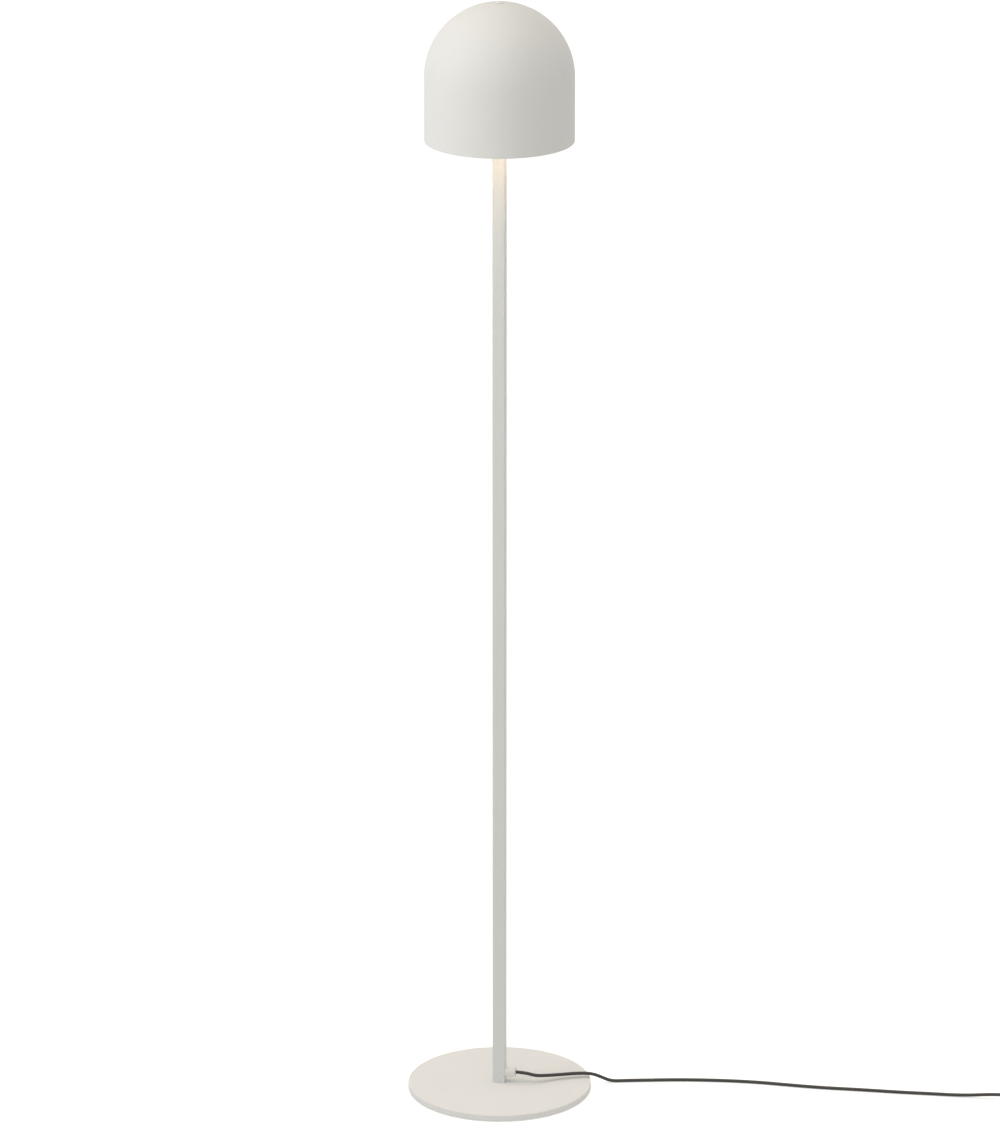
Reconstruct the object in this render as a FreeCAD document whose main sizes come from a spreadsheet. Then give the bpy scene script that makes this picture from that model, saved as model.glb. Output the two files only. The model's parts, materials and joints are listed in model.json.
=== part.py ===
import FreeCAD, Part
import math
import os
import re
import Sketcher
from FreeCAD import Placement, Rotation, Vector

# A floor lamp with a mushroom shade. Millimetres, +Z up. The origin is on the floor, at the centre of
# the round base. The stem's faces look along X and Y, and the cord leaves its +X face.

SIZES = {
    # overall
    "lamp_height": 1460.0,  # floor to the crown of the shade, without the screw head
    "fit_gap": 0.05,  # round a thread or a pressed piece
    # base
    "base_radius": 120.0,
    "plate_thick": 8.0,
    "plate_round": 0.8,
    "pad_thick": 1.0,
    "pad_inset": 4.0,
    "pad_hole_radius": 14.0,
    "recess_depth": 1.5,  # the stem stands in a square recess
    "base_screw_radius": 4.0,
    "base_screw_head": 8.0,
    "base_screw_sink": 0.4,
    "base_screw_length": 14.1,
    # stem
    "stem_side": 16.0,
    "stem_wall": 1.5,
    "stem_corner": 1.0,
    "stem_above_rim": 5.0,
    "foot_insert_length": 30.0,
    "foot_thread_depth": 9.0,
    "top_insert_length": 22.0,
    "pipe_thread_radius": 5.0,  # grip spigot and nipple
    "cable_bore_radius": 4.0,
    "cable_offset": -1.0,  # the bend needs room, so the lower bore is off centre
    # cord grip
    "grip_rise": 14.0,  # axis above the base plate
    "grip_radius": 7.0,
    "grip_length": 14.0,
    "grip_spigot": 3.5,
    "grip_screw_radius": 1.5,
    # cord
    "cord_radius": 2.25,
    "cord_play": 0.05,
    "core_radius": 1.0,
    "core_spread": 1.15,
    # shade and what carries it
    "shade_radius": 95.0,
    "shade_skirt": 82.0,
    "shade_wall": 1.2,
    "crown_hole_radius": 2.2,
    "crown_gap": 0.3,
    "shade_washer_thick": 1.2,
    "strap_width": 16.0,
    "strap_thick": 2.0,
    "saddle_half": 38.0,
    "saddle_height": 28.0,
    "saddle_bend": 5.0,
    "arch_rise": 8.0,  # foot of the arch above the saddle's floor
    "arch_flat": 8.0,
    "arch_screw_rise": 17.0,
    "small_screw_radius": 2.0,
    "nipple_wall": 1.5,
    "nipple_below": 16.0,
    "nipple_above": 8.0,
    "lock_washer_radius": 9.0,
    "lock_washer_thick": 1.0,
    "lock_nut_radius": 8.08,
    "lock_nut_thick": 4.0,
    "cap_head_radius": 5.0,
    "cap_head_height": 2.0,
    "cap_head_edge": 0.8,
    "cap_head_dome": 12.0,
    "cap_screw_length": 8.5,
    "small_nut_radius": 4.04,
    "small_nut_thick": 3.2,
    # lampholder
    "holder_radius": 19.8,
    "holder_disc_foot": 18.0,
    "holder_disc_top": 26.0,
    "terminal_height": 15.5,
    "left_terminal": 8.0,
    "right_terminal": 10.0,
    "sleeve_radius": 13.9,
    "sleeve_wall": 0.5,
    # bulb
    "bulb_rise": 30.0,  # tip above the lampholder's foot
    "bulb_length": 105.0,
    "globe_radius": 30.0,
    "globe_wall": 1.2,
    "globe_foot": 57.0,
    "bulb_cap_radius": 13.2,
    "bulb_cap_wall": 0.5,
    "led_ring_radius": 14.0,
    # foot switch
    "switch_x": 726.0,
    "cord_line": 83.0,  # Y of the cord where it meets the switch
    "switch_half_length": 40.0,
    "switch_half_width": 16.0,
    "switch_wall": 2.0,
    "switch_foot_rise": 0.8,
    "switch_parting": 7.0,  # the shells meet at the cord's axis
    "switch_cover_height": 13.0,
    "switch_sheath_end": 28.0,
    "boss_x": 24.5,
    "boss_y": 9.5,
    "clamp_x": 32.0,
    "clamp_post_y": 7.0,
    "button_radius": 11.0,
    "button_play": 0.3,
    "module_top": 12.0,
    "spring_radius": 5.0,
    "spring_wire_radius": 0.4,
    # plug
    "plug_rear_x": 778.0,
    "plug_half_thick": 6.85,
    "plug_length": 38.0,
    "plug_half_width": 17.6,
    "pin_radius": 2.0,
    "pin_sleeve_radius": 1.75,
    "pin_half_pitch": 9.3,
    "pin_length": 19.0,
    "boot_length": 26.0,
    # coil
    "coil_x": 876.0,
    "coil_radius": 35.2,
    "coil_pitch": 5.05,
    "floor_gap": 0.05,
}

BASE_TOP = "(pad_thick + plate_thick)"
STEM_FOOT = f"({BASE_TOP} - recess_depth)"
RIM = "(lamp_height - shade_radius - shade_skirt)"
STEM_TOP = f"({RIM} + stem_above_rim)"
GRIP_AXIS = f"({BASE_TOP} + grip_rise)"
HOLDER_FOOT = f"({STEM_TOP} + strap_thick + lock_washer_thick + lock_nut_thick)"
BULB_TIP = f"({HOLDER_FOOT} + bulb_rise)"
ARCH_TOP = "(lamp_height - shade_wall - crown_gap - shade_washer_thick)"
SWITCH_AXIS = "(switch_foot_rise + switch_parting)"
PLUG_AXIS = "(plug_half_thick + floor_gap)"

doc = FreeCAD.newDocument("floor_lamp")
sheet = doc.addObject("Spreadsheet::Sheet", "Sizes")
for row, (alias, number) in enumerate(SIZES.items(), start=1):
    sheet.set(f"A{row}", alias)
    sheet.set(f"B{row}", str(number))
    sheet.setAlias(f"B{row}", alias)
doc.recompute()

pieces = []


# ---------------------------------------------------------------- sizes and expressions


def formula(text):
    """The text with each size's name turned into a reference to its cell."""
    return re.sub(r"[a-z_]+", lambda word: f"Sizes.{word[0]}" if word[0] in SIZES else word[0], str(text))


def value(text):
    """The number that a formula gives now."""
    return float(sheet.evalExpression(formula(text)))


def point(x, y, z):
    return Vector(value(x), value(y), value(z))


# ---------------------------------------------------------------- bodies and sketches


def place(thing, x="0", y="0", z="0", turn=None):
    if turn:
        thing.Placement = Placement(Vector(), turn)
    for axis, text in zip("xyz", (x, y, z)):
        thing.setExpression(f"Placement.Base.{axis}", formula(text))


def new_body(label, x="0", y="0", z="0", turn=None, kept=True):
    body = doc.addObject("PartDesign::Body", label)
    body.Label = label
    place(body, x, y, z, turn)
    if kept:
        pieces.append(body)
    return body


def new_sketch(body, role, offset="0"):
    sketch = body.newObject("Sketcher::SketchObject", f"{body.Name}_sketch")
    plane = next(feature for feature in body.Origin.OriginFeatures if feature.Role == role)
    sketch.AttachmentSupport = [(plane, "")]
    sketch.MapMode = "FlatFace"
    sketch.setExpression("AttachmentOffset.Base.z", formula(offset))
    return sketch


def constrain(sketch, kind, *where_and_text):
    *where, text = where_and_text
    index = sketch.addConstraint(Sketcher.Constraint(kind, *where, value(text)))
    sketch.setExpression(f"Constraints[{index}]", formula(text))


def circle(sketch, radius, x="0", y="0"):
    centre = point(x, y, "0")
    index = sketch.addGeometry(Part.Circle(centre, Vector(0, 0, 1), value(radius)), False)
    constrain(sketch, "Radius", index, radius)
    constrain(sketch, "DistanceX", -1, 1, index, 3, x)
    constrain(sketch, "DistanceY", -1, 1, index, 3, y)


def arc_between(start, end, radius, side):
    """The shorter arc between two points, with its centre to the left or right of the way there."""
    chord = end - start
    middle = (start + end) * 0.5
    left = Vector(-chord.y, chord.x, 0).normalize() * (1 if side == "left" else -1)
    depth = math.sqrt(max(radius**2 - (chord.Length / 2) ** 2, 0.0))
    centre = middle + left * depth
    return Part.Arc(start, centre - left * radius, end)


def outline(sketch, corners):
    """A closed outline. A corner is (x, y), or (x, y, radius, side) where an arc leaves it."""
    spots = [point(corner[0], corner[1], "0") for corner in corners]
    starts = []
    for index, corner in enumerate(corners):
        here, there = spots[index], spots[(index + 1) % len(spots)]
        if len(corner) == 4:
            shape = arc_between(here, there, value(corner[2]), corner[3])
        else:
            shape = Part.LineSegment(here, there)
        number = sketch.addGeometry(shape, False)
        starts.append((number, 1 if sketch.getPoint(number, 1).distanceToPoint(here) < 1e-6 else 2))
    for index, (number, start) in enumerate(starts):
        following, its_start = starts[(index + 1) % len(starts)]
        joint = Sketcher.Constraint("Coincident", number, 3 - start, following, its_start)
        sketch.addConstraint(joint)
    for (number, start), corner in zip(starts, corners):
        constrain(sketch, "DistanceX", -1, 1, number, start, corner[0])
        constrain(sketch, "DistanceY", -1, 1, number, start, corner[1])
        if len(corner) == 4:
            constrain(sketch, "Radius", number, corner[2])


def rounded_box(sketch, half_x, half_y, corner):
    near_x, near_y = f"({half_x} - {corner})", f"({half_y} - {corner})"
    outline(sketch, [
        (near_x, f"-{half_y}", corner, "left"), (half_x, f"-{near_y}"),
        (half_x, near_y, corner, "left"), (near_x, half_y),
        (f"-{near_x}", half_y, corner, "left"), (f"-{half_x}", near_y),
        (f"-{half_x}", f"-{near_y}", corner, "left"), (f"-{near_x}", f"-{half_y}"),
    ])


def box(sketch, low_x, low_y, high_x, high_y):
    outline(sketch, [(low_x, low_y), (high_x, low_y), (high_x, high_y), (low_x, high_y)])


def stadium(sketch, half_length, half_width):
    """Two half circles joined by straight sides, each half circle drawn as two quarters."""
    far = f"({half_length} - {half_width})"
    outline(sketch, [
        (far, f"-{half_width}", half_width, "left"), (half_length, "0", half_width, "left"),
        (far, half_width), (f"-{far}", half_width, half_width, "left"),
        (f"-{half_length}", "0", half_width, "left"), (f"-{far}", f"-{half_width}"),
    ])


def volume(body):
    return body.Shape.Volume if not body.Shape.isNull() else 0.0


def add_feature(body, kind, sketch):
    before = volume(body)
    feature = body.newObject(f"PartDesign::{kind}", f"{body.Name}_{kind.lower()}")
    feature.Profile = sketch
    sketch.Visibility = False
    return feature, before


def finish_feature(body, feature, before, removes):
    doc.recompute()
    change = volume(body) - before
    if (change > -1e-6) if removes else (change < 1e-6):
        raise RuntimeError(f"{body.Label}: {feature.Name} changes the volume by {change:.3f}")
    return feature


def extrude(body, sketch, length, symmetric=False, reverse=False):
    feature, before = add_feature(body, "Pad", sketch)
    feature.setExpression("Length", formula(length))
    feature.Midplane = symmetric
    feature.Reversed = reverse
    return finish_feature(body, feature, before, removes=False)


def cut(body, sketch, depth, symmetric=False, forward=False):
    """A pocket against the sketch's normal, or along it, or to both sides."""
    feature, before = add_feature(body, "Pocket", sketch)
    feature.setExpression("Length", formula(depth))
    feature.Midplane = symmetric
    feature.Reversed = forward
    return finish_feature(body, feature, before, removes=True)


def turn(body, corners, removes=False):
    """A revolution, or a groove, round the body's Z axis of an outline in radius and height."""
    sketch = new_sketch(body, "XZ_Plane")
    outline(sketch, corners)
    feature, before = add_feature(body, "Groove" if removes else "Revolution", sketch)
    feature.ReferenceAxis = (sketch, ["V_Axis"])
    feature.Angle = 360
    return finish_feature(body, feature, before, removes)


def bore(body, role, radius, depth, x="0", y="0", offset="0", symmetric=False, forward=False):
    sketch = new_sketch(body, role, offset)
    circle(sketch, radius, x, y)
    return cut(body, sketch, depth, symmetric, forward)


def round_edges(body, kind, size, wanted):
    """A fillet or a chamfer on the edges of the body's tip that the test picks."""
    tip = body.Tip
    names = [f"Edge{number}" for number, edge in enumerate(tip.Shape.Edges, 1) if wanted(edge)]
    if not names:
        raise RuntimeError(f"{body.Label}: no edge to round")
    before = volume(body)
    feature = body.newObject(f"PartDesign::{kind}", f"{body.Name}_{kind.lower()}")
    feature.Base = (tip, names)
    feature.setExpression("Radius" if kind == "Fillet" else "Size", formula(size))
    return finish_feature(body, feature, before, removes=True)


def level_edge(height, least_radius=0.0):
    """Picks edges that lie level at a height, and no nearer the Z axis than a radius."""

    def wanted(edge):
        limits = edge.BoundBox
        spot = edge.valueAt(edge.FirstParameter)
        flat = abs(limits.ZMin - height) < 1e-4 and abs(limits.ZMax - height) < 1e-4
        return flat and math.hypot(spot.x, spot.y) > least_radius

    return wanted


def prism(body, kind, radius, length, z="0"):
    """A hexagonal prism added to, or cut from, a body."""
    before = volume(body)
    feature = body.newObject(f"PartDesign::{kind}Prism", f"{body.Name}_prism")
    feature.Polygon = 6
    feature.setExpression("Circumradius", formula(radius))
    feature.setExpression("Height", formula(length))
    feature.setExpression("Placement.Base.z", formula(z))
    return finish_feature(body, feature, before, removes=kind == "Subtractive")


def ring(label, outer, inner, height, x="0", y="0", z="0"):
    body = new_body(label, x, y, z)
    sketch = new_sketch(body, "XY_Plane")
    circle(sketch, outer)
    circle(sketch, inner)
    extrude(body, sketch, height)
    return body


def turned(label, corners, x="0", y="0", z="0", turn_by=None, kept=True):
    body = new_body(label, x, y, z, turn_by, kept)
    turn(body, corners)
    return body


def group(label, members):
    compound = doc.addObject("Part::Compound", label)
    compound.Label = label
    compound.Links = members
    pieces.append(compound)
    return compound


def coded(label, shape):
    """A piece whose shape is worked out in code from the sheet's sizes."""
    feature = doc.addObject("Part::Feature", label)
    feature.Label = label
    feature.Shape = shape
    pieces.append(feature)
    return feature


ALONG_X = Rotation(Vector(0, 1, 0), 90)
AGAINST_X = Rotation(Vector(0, 1, 0), -90)
ALONG_Y = Rotation(Vector(1, 0, 0), -90)
AGAINST_Y = Rotation(Vector(1, 0, 0), 90)
HALF_TURN = Rotation(Vector(0, 0, 1), 180)


# ---------------------------------------------------------------- tubes and windings


def rounded_route(points, radii=None):
    """Straight runs joined by tangent arcs. Without radii, each arc is as large as its runs allow."""
    edges, used = [], []
    start = points[0]
    for index in range(1, len(points) - 1):
        corner = points[index]
        back, ahead = points[index - 1] - corner, points[index + 1] - corner
        half_turn = (math.pi - back.getAngle(ahead)) / 2
        shorter = min(back.Length, ahead.Length)
        radius = radii[index - 1] if radii else 0.45 * shorter / math.tan(half_turn)
        reach = radius * math.tan(half_turn)
        back.normalize()
        ahead.normalize()
        inward = (back + ahead).normalize()
        middle = corner + inward * (radius / math.cos(half_turn) - radius)
        edges.append(Part.LineSegment(start, corner + back * reach).toShape())
        edges.append(Part.Arc(corner + back * reach, middle, corner + ahead * reach).toShape())
        start = corner + ahead * reach
        used.append(radius)
    edges.append(Part.LineSegment(start, points[-1]).toShape())
    return Part.Wire(edges), used


def tube_on(path, radius):
    first = path.Edges[0]
    start = first.valueAt(first.FirstParameter)
    direction = first.tangentAt(first.FirstParameter)
    section = Part.Wire([Part.makeCircle(radius, start, direction)])
    return path.makePipeShell([section], True, False)


def tube(label, points, radius, radii=None):
    path, used = rounded_route(points, radii)
    shape = tube_on(path, radius)
    ideal = math.pi * radius**2 * path.Length
    print(f"{label}: length {path.Length:.1f}, volume ratio {shape.Volume / ideal:.4f}, radii "
          + " ".join(f"{r:.0f}" for r in used))
    return coded(label, shape)


def biarc(start, start_way, end, end_way):
    """Two arcs that leave one point and reach the next along given unit directions."""
    gap = end - start
    ways = start_way + end_way
    bend = 2 * (1 - start_way.dot(end_way))
    reach = (math.sqrt(gap.dot(ways) ** 2 + bend * gap.dot(gap)) - gap.dot(ways)) / bend
    first_corner, second_corner = start + start_way * reach, end - end_way * reach
    joint = (first_corner + second_corner) * 0.5
    edges = []
    for low, corner, high in ((start, first_corner, joint), (joint, second_corner, end)):
        chord_middle = (low + high) * 0.5
        half_chord = (high - low).Length / 2
        half_angle = math.atan2((corner - chord_middle).Length, half_chord)
        bulge = (corner - chord_middle).normalize() * (half_chord * math.tan(half_angle / 2))
        edges.append(Part.Arc(low, chord_middle + bulge, high).toShape())
    return edges


def winding(place_at, turns, lead=0.0):
    """A path of quarter-turn biarcs along a curve given by turns, with a straight lead at each end."""
    step = 1 / 16

    def way(at):
        low, high = max(at - step, 0.0), min(at + step, turns)
        if high - low < 2 * step - 1e-9:
            low, high = (0.0, 1e-4) if at < step else (turns - 1e-4, turns)
        return (place_at(high) - place_at(low)).normalize()

    count = math.ceil(turns * 4)
    stops = [turns * index / count for index in range(count + 1)]
    edges = []
    for low, high in zip(stops, stops[1:]):
        edges += biarc(place_at(low), way(low), place_at(high), way(high))
    if lead:
        first, last = place_at(0.0), place_at(turns)
        edges.insert(0, Part.LineSegment(first - way(0.0) * lead, first).toShape())
        edges.append(Part.LineSegment(last, last + way(turns) * lead).toShape())
    return Part.Wire(edges)


def least_gap(path, radius, spacing):
    """The smallest surface distance between stretches of a tube that aren't neighbours."""
    spots = path.discretize(Distance=spacing)
    apart = math.ceil(math.pi * 2 * radius / spacing) + 1
    nearest = min(
        spots[low].distanceToPoint(spots[high])
        for low in range(len(spots))
        for high in range(low + apart, len(spots))
    )
    return nearest - 2 * radius


def sleeve_corners(foot_radius, tip_radius, length, bore_radius, rings):
    """The outline of a tapered strain relief with evenly spaced grooves and a flared mouth."""
    pitch = length / (rings + 0.5)
    corners = [(bore_radius, 0), (foot_radius, 0)]
    for index in range(rings):
        ridge_end, groove_end = pitch * (index + 0.65), pitch * (index + 1)
        outer = foot_radius + (tip_radius - foot_radius) * groove_end / length
        inner = outer - 0.5
        corners += [(outer, ridge_end), (inner, ridge_end), (inner, groove_end), (outer, groove_end)]
    corners += [(tip_radius, length), (bore_radius + 0.4, length), (bore_radius, length - 9)]
    return [(f"{radius:.3f}", f"{height:.3f}") for radius, height in corners]


# ---------------------------------------------------------------- base


def make_base():
    ring("base_pad", "base_radius - pad_inset", "pad_hole_radius", "pad_thick")

    plate = new_body("base_plate", z="pad_thick")
    disc = new_sketch(plate, "XY_Plane")
    circle(disc, "base_radius")
    extrude(plate, disc, "plate_thick")
    recess = new_sketch(plate, "XY_Plane", "plate_thick")
    half_recess = "(stem_side / 2 + fit_gap)"
    rounded_box(recess, half_recess, half_recess, "stem_corner")
    cut(plate, recess, "recess_depth")
    # the screw's head lies in a countersink, a little above the underside
    clear = "(base_screw_radius + 0.2)"
    wide = "(base_screw_head + base_screw_sink + 0.1)"
    turn(plate, [("0", "0"), (wide, "0"), (clear, f"{wide} - {clear}"), (clear, "plate_thick"),
                 ("0", "plate_thick")], removes=True)
    rim = value("base_radius") - 1
    round_edges(plate, "Fillet", "plate_round", level_edge(value("plate_thick"), rim))
    round_edges(plate, "Chamfer", "plate_round / 2", level_edge(0.0, rim))

    screw = turned("base_screw", [
        ("0", "0"), ("base_screw_head", "0"), ("base_screw_head", "0.1"),
        ("base_screw_radius", "0.1 + base_screw_head - base_screw_radius"),
        ("base_screw_radius", "base_screw_length"), ("0", "base_screw_length"),
    ], z="pad_thick + base_screw_sink")
    prism(screw, "Subtractive", "2.89", "3")


# ---------------------------------------------------------------- stem and cord grip


def make_stem():
    tube_body = new_body("stem_tube", z=STEM_FOOT)
    section = new_sketch(tube_body, "XY_Plane")
    half_side = "(stem_side / 2)"
    half_bore = "(stem_side / 2 - stem_wall)"
    rounded_box(section, half_side, half_side, "stem_corner")
    rounded_box(section, half_bore, half_bore, "(stem_corner / 2)")
    extrude(tube_body, section, f"{STEM_TOP} - {STEM_FOOT}")
    bore(tube_body, "YZ_Plane", "pipe_thread_radius + 3 * fit_gap", "stem_side",
         y=f"{GRIP_AXIS} - {STEM_FOOT}", forward=True)

    insert = new_body("foot_insert", z=STEM_FOOT)
    block = new_sketch(insert, "XY_Plane")
    rounded_box(block, half_bore, half_bore, "(stem_corner / 2)")
    extrude(insert, block, "foot_insert_length")
    bore(insert, "XY_Plane", "base_screw_radius + fit_gap", "foot_thread_depth", forward=True)
    bore(insert, "YZ_Plane", "pipe_thread_radius + fit_gap", "stem_side",
         y=f"{GRIP_AXIS} - {STEM_FOOT}", offset="cable_offset", forward=True)
    bore(insert, "XY_Plane", "cable_bore_radius",
         f"{STEM_FOOT} + foot_insert_length - {GRIP_AXIS} + cable_bore_radius",
         x="cable_offset", offset="foot_insert_length")

    top = new_body("top_insert", z=f"{STEM_TOP} - top_insert_length")
    plug = new_sketch(top, "XY_Plane")
    rounded_box(plug, half_bore, half_bore, "(stem_corner / 2)")
    circle(plug, "pipe_thread_radius + fit_gap")
    extrude(top, plug, "top_insert_length")

    ring("nipple", "pipe_thread_radius", "pipe_thread_radius - nipple_wall",
         "nipple_below + strap_thick + lock_washer_thick + lock_nut_thick + nipple_above",
         z=f"{STEM_TOP} - nipple_below")


def make_grip():
    # the bore opens out at its inner end, where the cable bends up into the stem
    throat = "(cord_radius + cord_play)"
    grip = turned("cord_grip", [
        (f"{throat} + 1.6", "-grip_spigot"), ("pipe_thread_radius", "-grip_spigot"),
        ("pipe_thread_radius", "0"), ("grip_radius", "0"), ("grip_radius", "grip_length - 1"),
        ("grip_radius - 1", "grip_length"), (f"{throat} + 0.5", "grip_length"),
        (throat, "grip_length - 0.5"), (throat, "-grip_spigot + 1.6"),
    ], x="stem_side / 2", z=GRIP_AXIS, turn_by=ALONG_X)
    # the clamp screw's hole, in the +Y side
    bore(grip, "XZ_Plane", "grip_screw_radius + fit_gap", "grip_radius + 1",
         y="grip_length / 2", forward=False)

    screw = turned("grip_screw", [
        ("0", "cord_radius + cord_play"), ("grip_screw_radius - 0.4", "cord_radius + cord_play"),
        ("grip_screw_radius", "cord_radius + cord_play + 0.4"), ("grip_screw_radius", "grip_radius - 0.5"),
        ("0", "grip_radius - 0.5"),
    ], x="stem_side / 2 + grip_length / 2", z=GRIP_AXIS, turn_by=ALONG_Y)
    slot = new_sketch(screw, "XY_Plane", "grip_radius - 0.5")
    box(slot, "-2", "-0.25", "2", "0.25")
    cut(screw, slot, "0.9")


# ---------------------------------------------------------------- shade carrier


def strap(label, corners, z):
    body = new_body(label, z=z)
    side_view = new_sketch(body, "XZ_Plane")
    outline(side_view, corners)
    extrude(body, side_view, "strap_width", symmetric=True)
    return body


def make_carrier():
    near = "(saddle_half - saddle_bend)"
    inner_half, inner_bend = "(saddle_half - strap_thick)", "(saddle_bend - strap_thick)"
    saddle = strap("shade_saddle", [
        (near, "0", "saddle_bend", "left"), ("saddle_half", "saddle_bend"),
        ("saddle_half", "saddle_height"), (inner_half, "saddle_height"),
        (inner_half, "saddle_bend", inner_bend, "right"), (near, "strap_thick"),
        (f"-{near}", "strap_thick", inner_bend, "right"), (f"-{inner_half}", "saddle_bend"),
        (f"-{inner_half}", "saddle_height"), ("-saddle_half", "saddle_height"),
        ("-saddle_half", "saddle_bend", "saddle_bend", "left"), (f"-{near}", "0"),
    ], z=STEM_TOP)
    bore(saddle, "XY_Plane", "pipe_thread_radius + 3 * fit_gap", "strap_thick", forward=True)
    bore(saddle, "YZ_Plane", "small_screw_radius + fit_gap", "3 * saddle_half",
         y="arch_screw_rise", symmetric=True)

    washer = ring("lock_washer", "lock_washer_radius", "pipe_thread_radius + 3 * fit_gap",
                  "lock_washer_thick", z=f"{STEM_TOP} + strap_thick")
    notch = bore(washer, "XY_Plane", "1.1", "lock_washer_thick", x="lock_washer_radius", forward=True)
    teeth = washer.newObject("PartDesign::PolarPattern", "teeth")
    teeth.Originals = [notch]
    teeth.Axis = (notch.Profile[0], ["N_Axis"])
    teeth.Angle = 360
    teeth.Occurrences = 12
    washer.Tip = teeth
    doc.recompute()

    nut = new_body("lock_nut", z=f"{STEM_TOP} + strap_thick + lock_washer_thick")
    prism(nut, "Additive", "lock_nut_radius", "lock_nut_thick")
    bore(nut, "XY_Plane", "pipe_thread_radius + fit_gap", "lock_nut_thick", forward=True)

    # the arch's legs stand outside the saddle's, so both share the line x = saddle_half
    rise = f"({ARCH_TOP} - {STEM_TOP})"
    arch_half = "(saddle_half + strap_thick)"
    arch_bend = f"({arch_half} - arch_flat)"
    shoulder = f"({rise} - {arch_bend})"
    arch = strap("shade_arch", [
        ("saddle_half", "arch_rise"), (arch_half, "arch_rise"),
        (arch_half, shoulder, arch_bend, "left"), ("arch_flat", rise),
        ("-arch_flat", rise, arch_bend, "left"), (f"-{arch_half}", shoulder),
        (f"-{arch_half}", "arch_rise"), ("-saddle_half", "arch_rise"),
        ("-saddle_half", shoulder, f"{arch_bend} - strap_thick", "right"),
        ("-arch_flat", f"{rise} - strap_thick"),
        ("arch_flat", f"{rise} - strap_thick", f"{arch_bend} - strap_thick", "right"),
        ("saddle_half", shoulder),
    ], z=STEM_TOP)
    bore(arch, "XY_Plane", "crown_hole_radius", "2 * strap_thick", offset=rise)
    bore(arch, "YZ_Plane", "small_screw_radius + 3 * fit_gap", "3 * saddle_half",
         y="arch_screw_rise", symmetric=True)

    screws = []
    for side, way in (("", ALONG_X), ("-", AGAINST_X)):
        screw = turned("arch_screw", [
            ("0", "-5"), ("small_screw_radius", "-5"), ("small_screw_radius", "0"), ("4", "0"),
            ("4", "1.4"), ("3", "2.2"), ("0", "2.2"),
        ], x=f"{side}{arch_half}", z=f"{STEM_TOP} + arch_screw_rise", turn_by=way, kept=False)
        prism(screw, "Subtractive", "1.45", "1.3", z="1")
        screws.append(screw)
    group("arch_screws", screws)

    arch_nut = new_body("arch_nut", z=f"{ARCH_TOP} - strap_thick - small_nut_thick")
    prism(arch_nut, "Additive", "small_nut_radius", "small_nut_thick")
    bore(arch_nut, "XY_Plane", "small_screw_radius + fit_gap", "small_nut_thick", forward=True)

    ring("shade_washer", "7", "crown_hole_radius", "shade_washer_thick", z=ARCH_TOP)


def make_shade():
    inner = "(shade_radius - shade_wall)"
    turned("shade", [
        (inner, "0"), ("shade_radius", "0"), ("shade_radius", "shade_skirt", "shade_radius", "left"),
        ("crown_hole_radius", "shade_skirt + sqrt(shade_radius^2 - crown_hole_radius^2)"),
        ("crown_hole_radius", f"shade_skirt + sqrt({inner}^2 - crown_hole_radius^2)", inner, "right"),
        (inner, "shade_skirt"),
    ], z=RIM)

    screw = turned("cap_screw", [
        ("0", "-cap_screw_length"), ("small_screw_radius", "-cap_screw_length"),
        ("small_screw_radius", "0"), ("cap_head_radius", "0"),
        ("cap_head_radius", "cap_head_edge", "cap_head_dome", "left"), ("0", "cap_head_height"),
    ], z="lamp_height")
    prism(screw, "Subtractive", "1.45", "1.5", z="cap_head_height - 1.2")


# ---------------------------------------------------------------- lampholder


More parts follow.
